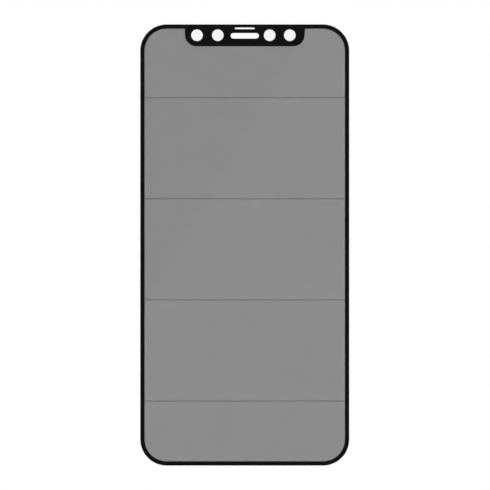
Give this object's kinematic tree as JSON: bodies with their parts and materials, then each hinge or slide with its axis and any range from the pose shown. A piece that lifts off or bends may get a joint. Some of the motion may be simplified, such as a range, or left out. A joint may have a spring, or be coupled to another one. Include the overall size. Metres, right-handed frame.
{
  "type": "phone privacy screen protector",
  "caption": "Thin rounded glass sheet that sticks to a phone display, with a black printed border, a notch tab with clear sensor windows and slots, and a grey louvre film that hides side views.",
  "frame": {"origin": "middle of the adhesive face, which is the middle of the underside of the bounding box", "axes": "+X to the right and +Y towards the notch end as seen from the front, +Z out of the front of the glass"},
  "size_m": [0.0666, 0.1406, 0.0006],
  "materials": {
    "clear_glass": "polished",
    "black_ink": "printed ink",
    "smoked_film": "smoked louvre film",
    "clear_adhesive": "clear silicone"
  },
  "bodies": {
    "root": {"cover_glass": "clear_glass", "border_print": "black_ink", "privacy_film": "smoked_film", "adhesive_layer": "clear_adhesive"}
  },
  "joints": []
}
